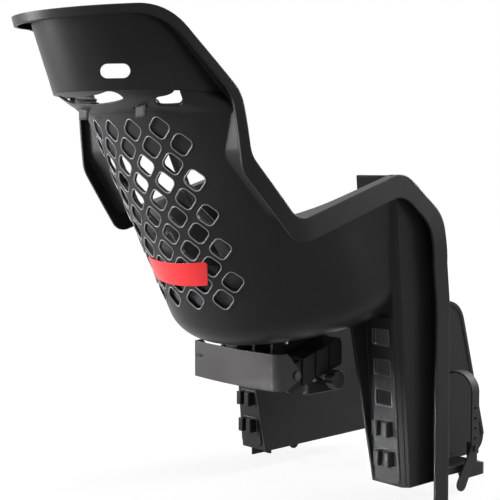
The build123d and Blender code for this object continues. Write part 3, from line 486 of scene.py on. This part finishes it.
thread_long = 0.045
thread_lead = 0.008
thread_starts = 5
thread_inner = 0.0405
spindle_y, spindle_z = 0.027, 0.009
for side, x, left in (("right", thread_inner, 0.0), ("left", -thread_inner - thread_long, 1.0)):
    cut = {"Length": thread_long, "Radius": 0.00395, "Turns": thread_long / thread_lead, "Left": left,
           "Ridge": 0.00026}
    starts = []
    for step in range(thread_starts):
        phase = math.tau * step / thread_starts
        upright = Vector((0, math.cos(phase), math.sin(phase)))
        starts.append(((x, spindle_y, spindle_z), (upright, across.cross(upright), across)))
    grown("spindle_thread_" + side, starts, thread_tree, cut, zinc, "spindle")

# Release lever
# A bowed band of grey, slightly metallic plastic with a soft sheen, turning on two pins. A short
# narrow lip of black moulding is raised on its rear face, near its left end; its black is painted
# shade for the shadowed opening of a slot.
grey = moulded("grey_moulding", (0.046, 0.043, 0.044), rough=0.36, grain=0.0009, edge=0.0018, shine=0.2,
               metal=0.15)
finish_node("lock_handle", grey)
lip_middle = (-0.074, -0.0884, 0.036)
lever_slot = [(lip_middle, (across, (0, 0, 1), (0, -1, 0)))]
slot_lip = {"Width": 0.011, "Height": 0.0026, "Corner": 0.0012, "Spin": 0.0, "Bend": 0.0, "Bead": 0.0005}
# The lip takes the seat's black moulding: painted shade standing for the slot's shadowed opening.
grown("lever_slot_shade_lip", lever_slot, bead_tree, slot_lip, black, "lever")

# Footrests
# Black mouldings whose pegs clip into the leg guards, each with grip ribs across its sole and a
# rubber strap over the foot, whose holes have raised lips.
rib_tree, start, end = tree_with("rib", ("Long", "Thick"))
half = rib_tree.nodes.new("ShaderNodeMath")
half.operation = "MULTIPLY"
half.inputs[1].default_value = 0.5
minus = rib_tree.nodes.new("ShaderNodeMath")
minus.operation = "MULTIPLY"
minus.inputs[1].default_value = -0.5
first = rib_tree.nodes.new("ShaderNodeCombineXYZ")
last = rib_tree.nodes.new("ShaderNodeCombineXYZ")
stroke = rib_tree.nodes.new("GeometryNodeCurvePrimitiveLine")
steps = rib_tree.nodes.new("GeometryNodeResampleCurve")
steps.inputs["Count"].default_value = 7
along = rib_tree.nodes.new("GeometryNodeSplineParameter")
centred = rib_tree.nodes.new("ShaderNodeMath")
centred.operation = "MULTIPLY_ADD"
centred.inputs[1].default_value = 2.0
centred.inputs[2].default_value = -1.0
steep = rib_tree.nodes.new("ShaderNodeMath")
steep.operation = "POWER"
steep.inputs[1].default_value = 6.0
rest = rib_tree.nodes.new("ShaderNodeMath")
rest.operation = "SUBTRACT"
rest.inputs[0].default_value = 1.02
swell = rib_tree.nodes.new("ShaderNodeMath")
swell.operation = "SQRT"
circle = rib_tree.nodes.new("GeometryNodeCurvePrimitiveCircle")
circle.inputs["Resolution"].default_value = 6
body = rib_tree.nodes.new("GeometryNodeCurveToMesh")
body.inputs["Fill Caps"].default_value = True
link = rib_tree.links.new
link(start.outputs["Long"], half.inputs[0])
link(start.outputs["Long"], minus.inputs[0])
link(half.outputs["Value"], last.inputs["X"])
link(minus.outputs["Value"], first.inputs["X"])
link(first.outputs["Vector"], stroke.inputs["Start"])
link(last.outputs["Vector"], stroke.inputs["End"])
link(stroke.outputs["Curve"], steps.inputs["Curve"])
link(along.outputs["Factor"], centred.inputs[0])
link(centred.outputs["Value"], steep.inputs[0])
link(steep.outputs["Value"], rest.inputs[1])
link(rest.outputs["Value"], swell.inputs[0])
link(steps.outputs["Curve"], body.inputs["Curve"])
link(start.outputs["Thick"], circle.inputs["Radius"])
link(circle.outputs["Curve"], body.inputs["Profile Curve"])
link(swell.outputs["Value"], body.inputs["Scale"])
planted(rib_tree, start, end, body.outputs["Mesh"])

rubber = moulded("strap_rubber", (0.018, 0.018, 0.019), rough=0.62, grain=0.0007, edge=0.0006, shine=0.25)
sole_x = 0.1545
over_sole = -0.05
rearmost_rib = 0.125
rib_pitch = 0.0095
rib_places = 18
level = 0.9
sole_rib = {"Long": 0.042, "Thick": 0.0013}
strap_foot = Vector((0.1888, 0.258, -0.118))
lip_pitch = 0.016
strap_holes = 4
hole_lip = {"Width": 0.0052, "Height": 0.0052, "Corner": 0.0025, "Spin": 0.0, "Bend": 0.0, "Bead": 0.0005}
for side, sign in (("right", 1), ("left", -1)):
    finish_node("footrest_" + side, black)
    finish_node("foot_strap_" + side, rubber)
    skin = bmesh.new()
    skin.from_mesh(nodes["footrest_" + side].data)
    rest_skin = BVHTree.FromBMesh(skin)
    skin.free()
    ribs = []
    for step in range(rib_places):
        above = Vector((sign * sole_x, rearmost_rib + rib_pitch * step, over_sole))
        hit, normal, _, _ = rest_skin.ray_cast(above, Vector((0, 0, -1)))
        if hit and normal.z > level:
            ribs.append((hit, (across, normal.cross(across), normal)))
    grown("sole_ribs_" + side, ribs, rib_tree, sole_rib, black, "rest_" + side)
    lips = []
    for step in range(strap_holes):
        place = (sign * strap_foot.x, strap_foot.y, strap_foot.z + lip_pitch * (step + 1))
        lips.append((place, ((0, sign, 0), (0, 0, 1), (sign, 0, 0))))
    grown("strap_lips_" + side, lips, bead_tree, hole_lip, rubber, "rest_" + side)

# Harness hardware
# Buckle and two tongues of black moulding, with a red push button in the buckle. The tongues slide
# into the buckle, and the straps loop through them.
for name in ("buckle_body", "tongue_right", "tongue_left"):
    finish_node(name, black)
button = moulded("red_button", (0.6, 0.03, 0.03), rough=0.35, grain=0.002, edge=0.0012, shine=0.5)
finish_node("buckle_button", button)

# Seat pad
# A loose foam cushion in a knitted grey cover, laid in the bucket under the buckle and quilted in
# lengthwise channels. Its filling blows the cover up over the solid between the sewn channels.
def applied(obj):
    """Puts the result of an object's modifiers into its mesh."""
    graph = bpy.context.evaluated_depsgraph_get()
    mesh = bpy.data.meshes.new_from_object(obj.evaluated_get(graph))
    obj.modifiers.clear()
    obj.data = mesh


puff_frames = 20


def stuffed(name, node, hull, voxel, slack, pressure, cap, sewn):
    """Cover over a soft solid, swollen by its filling; sewn(place, normal) says how far it is held."""
    mesh = nodes[node].data.copy()
    skin = bmesh.new()
    skin.from_mesh(mesh)
    bmesh.ops.remove_doubles(skin, verts=skin.verts, dist=weld_gap)
    if hull:
        wrap = bmesh.ops.convex_hull(skin, input=skin.verts)
        outside = {face for face in wrap["geom"] if isinstance(face, bmesh.types.BMFace)}
        bmesh.ops.delete(skin, geom=[f for f in skin.faces if f not in outside], context="FACES")
    skin.to_mesh(mesh)
    skin.free()
    mesh.materials.clear()
    cover = bpy.data.objects.new(name, mesh)
    bpy.context.scene.collection.objects.link(cover)
    grid = cover.modifiers.new("grid", "REMESH")
    grid.mode = "VOXEL"
    grid.voxel_size = voxel
    applied(cover)
    normals = [v.normal.copy() for v in cover.data.vertices]
    for v, n in zip(cover.data.vertices, normals):
        v.co -= n * slack
    flat = [v.co.copy() for v in cover.data.vertices]
    hold = cover.vertex_groups.new(name="sewn")
    for v, n in zip(cover.data.vertices, normals):
        hold.add([v.index], sewn(v.co, n), "REPLACE")
    cloth = cover.modifiers.new("cloth", "CLOTH")
    cloth.settings.use_pressure = True
    cloth.settings.uniform_pressure_force = pressure
    cloth.settings.tension_stiffness = 4.0
    cloth.settings.compression_stiffness = 4.0
    cloth.settings.shear_stiffness = 2.0
    cloth.settings.bending_stiffness = 0.1
    cloth.settings.vertex_group_mass = "sewn"
    cloth.settings.effector_weights.gravity = 0.0
    for moment in range(1, puff_frames + 1):
        bpy.context.scene.frame_set(moment)
    applied(cover)
    bpy.context.scene.frame_set(1)
    for v, start_at in zip(cover.data.vertices, flat):
        move = v.co - start_at
        if move.length > cap:
            v.co = start_at + move * (cap / move.length)
    cover.vertex_groups.clear()
    finer = cover.modifiers.new("finer", "SUBSURF")
    finer.levels = finer.render_levels = 1
    applied(cover)
    for face in cover.data.polygons:
        face.use_smooth = True
    return cover


def knitted(name, colour, loop):
    """Knitted cover cloth: rows of small loops, lighter in their middles and darker in the grooves between
    them as painted shade, an uneven dye and a soft nap.
    """
    mat = bpy.data.materials.new(name)
    mat.use_nodes = True
    tree = mat.node_tree
    skin = tree.nodes["Principled BSDF"]
    skin.inputs["Roughness"].default_value = 0.85
    skin.inputs["Specular IOR Level"].default_value = 0.2
    skin.inputs["Sheen Weight"].default_value = 0.25
    skin.inputs["Sheen Roughness"].default_value = 0.4
    spot = tree.nodes.new("ShaderNodeTexCoord")
    loops = tree.nodes.new("ShaderNodeTexVoronoi")
    loops.inputs["Scale"].default_value = 1.0 / loop
    loops.inputs["Randomness"].default_value = 0.35
    dye = tree.nodes.new("ShaderNodeTexNoise")
    dye.inputs["Scale"].default_value = 45.0
    dye.inputs["Detail"].default_value = 8.0
    dye_and_groove_shade = tree.nodes.new("ShaderNodeMath")
    dye_and_groove_shade.operation = "MULTIPLY_ADD"
    dye_and_groove_shade.inputs[1].default_value = 0.5
    # Loop middles lighter and loop edges darker, where the bump sinks them: painted shade in the grooves,
    # mixed with the uneven dye.
    tint = tree.nodes.new("ShaderNodeValToRGB")
    tint.color_ramp.elements[0].position = 0.35
    tint.color_ramp.elements[1].position = 0.95
    tint.color_ramp.elements[0].color = tuple(1.35 * c for c in colour) + (1,)
    tint.color_ramp.elements[1].color = tuple(0.55 * c for c in colour) + (1,)
    bump = tree.nodes.new("ShaderNodeBump")
    bump.invert = True
    bump.inputs["Strength"].default_value = 0.6
    bump.inputs["Distance"].default_value = 0.0008
    link = tree.links.new
    link(spot.outputs["Object"], loops.inputs["Vector"])
    link(spot.outputs["Object"], dye.inputs["Vector"])
    link(loops.outputs["Distance"], dye_and_groove_shade.inputs[0])
    link(dye.outputs["Fac"], dye_and_groove_shade.inputs[2])
    link(dye_and_groove_shade.outputs["Value"], tint.inputs["Fac"])
    link(tint.outputs["Color"], skin.inputs["Base Color"])
    link(loops.outputs["Distance"], bump.inputs["Height"])
    link(bump.outputs["Normal"], skin.inputs["Normal"])
    return mat


channels = (-0.072, -0.024, 0.024, 0.072)
channel_half = 0.005
channel_depth = 0.0045
panel_crown = 0.0035
buckle_rear, buckle_front, buckle_half = 0.012, 0.076, 0.036
lap = Vector((0, -0.02, 0.26))
top_side = 0.25


def pad_sewn(place, normal):
    """1 on the pad's underside, which rests on the pan, under the buckle and at the channels, else 0."""
    if normal.dot((lap - place).normalized()) < top_side:
        return 1.0
    if abs(place.x) < buckle_half and buckle_rear < place.y < buckle_front:
        return 1.0
    return 1.0 if min(abs(place.x - x) for x in channels) < channel_half else 0.0


pad = stuffed("seat_cushion", "seat_pad", hull=False, voxel=0.005, slack=0.0015, pressure=14.0, cap=0.007,
              sewn=pad_sewn)
pad_normals = [v.normal.copy() for v in pad.data.vertices]
for v, normal in zip(pad.data.vertices, pad_normals):
    near = min(abs(v.co.x - x) for x in channels) / channel_half
    if normal.dot((lap - v.co).normalized()) > top_side:
        sunk = math.exp(-near * near)
        v.co += normal * (panel_crown * (1 - sunk) - channel_depth * sunk)
pad.data.materials.append(knitted("grey_knit", (0.075, 0.075, 0.079), loop=0.0015))
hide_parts("seat_pad")
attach(pad, "seat")

longest_skip = 0.012


def sewing(cover, line, reach):
    """Stitch places on a cover, where each of a line's points, with its up side, meets the cloth."""
    skin = bmesh.new()
    skin.from_mesh(cover.data)
    cloth = BVHTree.FromBMesh(skin)
    skin.free()
    hits = []
    for place, up in line:
        hit, normal, _, _ = cloth.ray_cast(place + up * reach, -up)
        if hit:
            hits.append((hit, normal))
    spots = []
    for (spot, normal), (following, _) in zip(hits, hits[1:]):
        run = following - spot
        if run.length < longest_skip:
            way = (run - normal * run.dot(normal)).normalized()
            spots.append((spot, (way, normal.cross(way), normal)))
    return spots


back_face = Vector((0, math.cos(back_lean), math.sin(back_lean)))
stitch_pitch = 0.0042
seam_front, pan_stitches = 0.30, 58
seam_rise, back_stitches = 0.060, 19
pad_seams = []
for x in channels:
    lane = hip + across * x
    line = [(lane + pan_forward * (seam_front - i * stitch_pitch), pan_normal) for i in range(pan_stitches)]
    line += [(lane + climb * (seam_rise + i * stitch_pitch), back_face) for i in range(back_stitches)]
    pad_seams += sewing(pad, line, reach=0.1)
cotton = knitted("sewing_thread", (0.13, 0.13, 0.135), loop=0.0004)
grown("seat_stitches", pad_seams, rib_tree, {"Long": 0.003, "Thick": 0.00045}, cotton, "seat")

# Shoulder pads
# Foam sleeves in the same knit round both shoulder straps, sewn along their long edges. Each cover
# is blown up over its solid by its filling, as the cushion's is.
def back_point(z, depth):
    """Point over the back's middle line at a level, at a depth in front of it."""
    return hip + climb * ((z - hip.z) / math.cos(back_lean)) + Vector((0, depth / math.cos(back_lean), 0))


def pan_point(u, n):
    """Point over the pan's middle line, at a reach from the hip and a height."""
    return hip + pan_forward * u + pan_normal * n


strap_x = 0.066
lap_height = 0.0293
chest_bend = back_point(0.245, 0.044)
lap_bend = pan_point(0.070, lap_height)
sleeve_way = (lap_bend - chest_bend).normalized()
sleeve_run = (lap_bend - chest_bend).length
sleeve_up = across.cross(sleeve_way)
if sleeve_up.y < 0:
    sleeve_up = -sleeve_up
seam_out = 0.0145
seam_half = 0.0025
seam_soft = 0.0028
seam_depth = 0.0016
first_stitch, stitch_share, sleeve_stitches = 0.12, 0.018, 17
sleeve_stitch = {"Long": 0.0028, "Thick": 0.0004}
for side, sign in (("right", 1), ("left", -1)):
    middle = across * (sign * strap_x)

    def sleeve_sewn(place, normal):
        """1 at the two lengthwise seams, else loose."""
        return 1.0 if abs(abs(place.x - middle.x) - seam_out) < seam_half else 0.0

    sleeve = stuffed("shoulder_sleeve_" + side, "shoulder_pad_" + side, hull=True, voxel=0.004, slack=0.001,
                     pressure=12.0, cap=0.006, sewn=sleeve_sewn)
    sleeve_normals = [v.normal.copy() for v in sleeve.data.vertices]
    for v, normal in zip(sleeve.data.vertices, sleeve_normals):
        near = (abs(v.co.x - middle.x) - seam_out) / seam_soft
        v.co -= normal * (seam_depth * math.exp(-near * near))
    sleeve.data.materials.append(knitted("sleeve_knit_" + side, (0.07, 0.07, 0.074), loop=0.0014))
    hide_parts("shoulder_pad_" + side)
    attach(sleeve, "seat")
    rows = []
    for lane in (-seam_out, seam_out):
        top = chest_bend + middle + across * lane
        shares = [first_stitch + stitch_share * i for i in range(sleeve_stitches)]
        line = [(top + sleeve_way * (sleeve_run * share), sleeve_up) for share in shares]
        rows += sewing(sleeve, line, reach=0.05)
    grown("sleeve_stitches_" + side, rows, rib_tree, sleeve_stitch, cotton, "seat")

# Harness webbing
# Two shoulder straps and a crotch strap of black woven polyester, 22 mm wide, threaded through the
# ledge, the tongues and the pan, with sewn ends.
def woven(name, colour):
    """Woven webbing on its own map in millimetres: small picks side by side, darker in the gaps between
    them as painted shade, with a faint shine.
    """
    mat = bpy.data.materials.new(name)
    mat.use_nodes = True
    tree = mat.node_tree
    skin = tree.nodes["Principled BSDF"]
    skin.inputs["Roughness"].default_value = 0.6
    skin.inputs["Specular IOR Level"].default_value = 0.3
    skin.inputs["Sheen Weight"].default_value = 0.15
    lay = tree.nodes.new("ShaderNodeUVMap")
    lay.uv_map = "webbing"
    picks = tree.nodes.new("ShaderNodeTexBrick")
    picks.inputs["Scale"].default_value = 1.0
    picks.inputs["Brick Width"].default_value = 2.2
    picks.inputs["Row Height"].default_value = 1.1
    picks.inputs["Mortar Size"].default_value = 0.16
    picks.inputs["Mortar Smooth"].default_value = 1.0
    picks.inputs["Color1"].default_value = tuple(0.8 * c for c in colour) + (1,)
    picks.inputs["Color2"].default_value = tuple(1.25 * c for c in colour) + (1,)
    # The mortar's dark tone in the sunk gaps between picks is painted shade.
    picks.inputs["Mortar"].default_value = tuple(0.35 * c for c in colour) + (1,)
    bump = tree.nodes.new("ShaderNodeBump")
    bump.invert = True
    bump.inputs["Strength"].default_value = 0.5
    bump.inputs["Distance"].default_value = 0.0005
    link = tree.links.new
    link(lay.outputs["UV"], picks.inputs["Vector"])
    link(picks.outputs["Color"], skin.inputs["Base Color"])
    link(picks.outputs["Fac"], bump.inputs["Height"])
    link(bump.outputs["Normal"], skin.inputs["Normal"])
    return mat


web_width = 0.022
web_thick = 0.0019
selvedge = 0.0006
dip = 0.9
shortest_step = 0.00005


def webbing(name, node, middle, route, turns, finish):
    """Woven strap swept along a smooth line past its turning points, flat across, with soft selvedges."""
    guards = [route[0]]
    for before, point, after, turn in zip(route, route[1:], route[2:], turns):
        guards.append(point + (before - point).normalized() * turn)
        guards.append(point + (after - point).normalized() * turn)
    guards.append(route[-1])
    line = bpy.data.curves.new(name + "_line", "CURVE")
    line.dimensions = "3D"
    run = line.splines.new("NURBS")
    run.points.add(len(guards) - 1)
    for knot, place in zip(run.points, guards):
        knot.co = (*place, 1.0)
    run.order_u = 3
    run.use_endpoint_u = True
    run.resolution_u = 8
    guide = bpy.data.objects.new(name + "_line", line)
    bpy.context.scene.collection.objects.link(guide)
    bpy.context.view_layer.update()
    graph = bpy.context.evaluated_depsgraph_get()
    path = [v.co.copy() for v in bpy.data.meshes.new_from_object(guide.evaluated_get(graph)).vertices]
    bpy.data.objects.remove(guide)
    path = [p for p, q in zip(path, path[1:]) if (q - p).length > shortest_step] + [path[-1]]
    w, t = web_width / 2, web_thick / 2
    upper = [(-w, 0), (-w + selvedge, t), (-w / 3, t * dip), (w / 3, t * dip), (w - selvedge, t)]
    section = upper + [(-x, -n) for x, n in upper]
    around = len(section)
    places, gone, travel = [], [], 0.0
    for i, p in enumerate(path):
        way = (path[min(i + 1, len(path) - 1)] - path[max(i - 1, 0)]).normalized()
        up = across.cross(way)
        places += [p + across * (middle + x) + up * n for x, n in section]
        travel += (p - path[max(i - 1, 0)]).length
        gone.append(travel)
    faces = [tuple(range(around))[::-1], tuple((len(path) - 1) * around + j for j in range(around))]
    for i in range(len(path) - 1):
        for j in range(around):
            k = (j + 1) % around
            faces.append((i * around + j, i * around + k, (i + 1) * around + k, (i + 1) * around + j))
    mesh = bpy.data.meshes.new(name)
    mesh.from_pydata(places, [], faces)
    skin = bmesh.new()
    skin.from_mesh(mesh)
    bmesh.ops.recalc_face_normals(skin, faces=skin.faces)
    skin.to_mesh(mesh)
    skin.free()
    lay = mesh.uv_layers.new(name="webbing")
    for corner in mesh.loops:
        row, column = divmod(corner.vertex_index, around)
        lay.data[corner.index].uv = (1000 * gone[row], 1000 * (section[column][0] + w))
    for face in mesh.polygons:
        face.use_smooth = True
    mesh.materials.append(finish)
    strap = bpy.data.objects.new(name, mesh)
    bpy.context.scene.collection.objects.link(strap)
    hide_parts(node)
    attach(strap, "seat")
    return strap


polyester = woven("black_webbing", (0.016, 0.016, 0.018))
ledge_slot_y = -0.300
below_ledge, over_ledge = 0.3896, 0.4136
off_back = 0.021
sleeve_entry = 0.275
tongue_bar = 0.122
tail_end = 0.097
tail_height = 0.0243
strap_route = [Vector((0, ledge_slot_y, below_ledge)), Vector((0, ledge_slot_y, over_ledge)),
               back_point(over_ledge, off_back), back_point(sleeve_entry, off_back), chest_bend, lap_bend,
               pan_point(tongue_bar, lap_height), pan_point(tongue_bar, tail_height),
               pan_point(tail_end, tail_height)]
strap_turns = (0.005, 0.005, 0.006, 0.006, 0.014, 0.0022, 0.0022)
box_rear, box_pitch, box_stitches = 0.0985, 0.0032, 7
box_lanes = (-0.007, -0.0035, 0.0035, 0.007)
box_stitch = {"Long": 0.0026, "Thick": 0.00035}
for side, sign in (("right", 1), ("left", -1)):
    strap = webbing("shoulder_web_" + side, "shoulder_strap_" + side, sign * strap_x, strap_route,
                    strap_turns, polyester)
    box_seam = []
    for lane in box_lanes:
        beside = across * (sign * strap_x + lane)
        row = [pan_point(box_rear + box_pitch * i, lap_height) + beside for i in range(box_stitches)]
        box_seam += sewing(strap, [(place, pan_normal) for place in row], reach=0.02)
    grown("web_stitches_" + side, box_seam, rib_tree, box_stitch, cotton, "seat")
buckle_end, pan_slot, under_end = 0.2145, 0.243, 0.221
over_pan, under_pan = 0.0268, -0.008
crotch_route = [pan_point(buckle_end, over_pan), pan_point(pan_slot, over_pan),
                pan_point(pan_slot, under_pan), pan_point(under_end, under_pan)]
webbing("crotch_web", "crotch_strap", 0.0, crotch_route, (0.007, 0.004), polyester)
